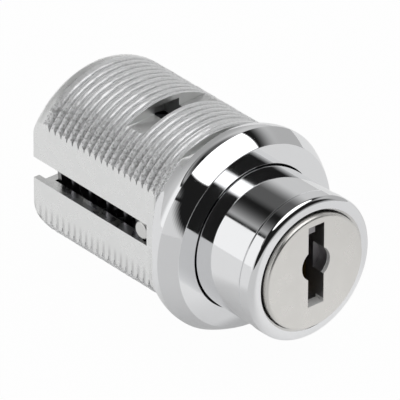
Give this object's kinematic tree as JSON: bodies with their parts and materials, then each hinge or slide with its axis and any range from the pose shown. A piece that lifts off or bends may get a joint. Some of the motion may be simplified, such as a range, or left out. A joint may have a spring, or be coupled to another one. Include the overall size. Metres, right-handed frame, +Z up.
{
  "type": "pushbutton cabinet lock",
  "caption": "Round pushbutton lock with a threaded barrel: pressing the button drives a rear bolt out, and turning the keyed core throws a tab that holds it.",
  "frame": {"origin": "on the lock axis, 7.9 mm behind the front face of the collar, where the threaded barrel begins", "axes": "+Y along the axis towards the rear bolt, the button faces -Y, +Z up and +X right as seen from the front"},
  "size_m": [0.0242, 0.0374, 0.0242],
  "materials": {
    "cast_chrome": "chrome over a die-cast skin, polished on the collar",
    "bright_chrome": "mirror polish",
    "satin_nickel": "satin",
    "cast_zinc": "as cast",
    "steel": "bright zinc plate",
    "spring_steel": "drawn wire and strip",
    "wafer_brass": "stamped"
  },
  "bodies": {
    "barrel": {"housing": "cast_chrome", "spring_washer": "steel", "return_spring": "spring_steel"},
    "button": {"button_sleeve": "bright_chrome", "cylinder_body": "cast_zinc", "lock_bolt": "steel", "cross_pin": "steel"},
    "core": {"lock_core": "satin_nickel", "core_clip": "spring_steel", "wafer_spring_1": "spring_steel", "wafer_spring_2": "spring_steel", "wafer_spring_3": "spring_steel", "wafer_spring_4": "spring_steel", "wafer_spring_5": "spring_steel"},
    "tab": {"locking_tab": "steel"},
    "wafer_a": {"wafer_1": "wafer_brass"},
    "wafer_b": {"wafer_2": "wafer_brass"},
    "wafer_c": {"wafer_3": "wafer_brass"},
    "wafer_d": {"wafer_4": "wafer_brass"},
    "wafer_e": {"wafer_5": "wafer_brass"}
  },
  "joints": [
    {"name": "button_press", "type": "slide", "parent": "barrel", "child": "button", "axis": [0, 1, 0], "range_m": [0, 0.0084], "stiffness_N_per_m": 700, "springref_m": -0.003, "deforming": ["return_spring"]},
    {"name": "core_turn", "type": "hinge", "parent": "button", "child": "core", "pos_m": [0, 0, 0], "axis": [0, 1, 0], "range_deg": [0, 90]},
    {"name": "tab_lift", "type": "slide", "parent": "button", "child": "tab", "axis": [0, 0, 1], "range_m": [0, 0.0018]},
    {"name": "wafer_1_lift", "type": "slide", "parent": "core", "child": "wafer_a", "axis": [0, 0, 1], "range_m": [0, 0.0009], "stiffness_N_per_m": 100, "springref_m": -0.002, "deforming": ["wafer_spring_1"]},
    {"name": "wafer_2_lift", "type": "slide", "parent": "core", "child": "wafer_b", "axis": [0, 0, -1], "range_m": [0, 0.0009], "stiffness_N_per_m": 100, "springref_m": -0.002, "deforming": ["wafer_spring_2"]},
    {"name": "wafer_3_lift", "type": "slide", "parent": "core", "child": "wafer_c", "axis": [0, 0, 1], "range_m": [0, 0.0009], "stiffness_N_per_m": 100, "springref_m": -0.002, "deforming": ["wafer_spring_3"]},
    {"name": "wafer_4_lift", "type": "slide", "parent": "core", "child": "wafer_d", "axis": [0, 0, -1], "range_m": [0, 0.0009], "stiffness_N_per_m": 100, "springref_m": -0.002, "deforming": ["wafer_spring_4"]},
    {"name": "wafer_5_lift", "type": "slide", "parent": "core", "child": "wafer_e", "axis": [0, 0, 1], "range_m": [0, 0.0009], "stiffness_N_per_m": 100, "springref_m": -0.002, "deforming": ["wafer_spring_5"]}
  ],
  "couplings": [
    {"joint": "tab_lift", "follows": "core_turn", "m_per_rad": 0.0011459}
  ]
}
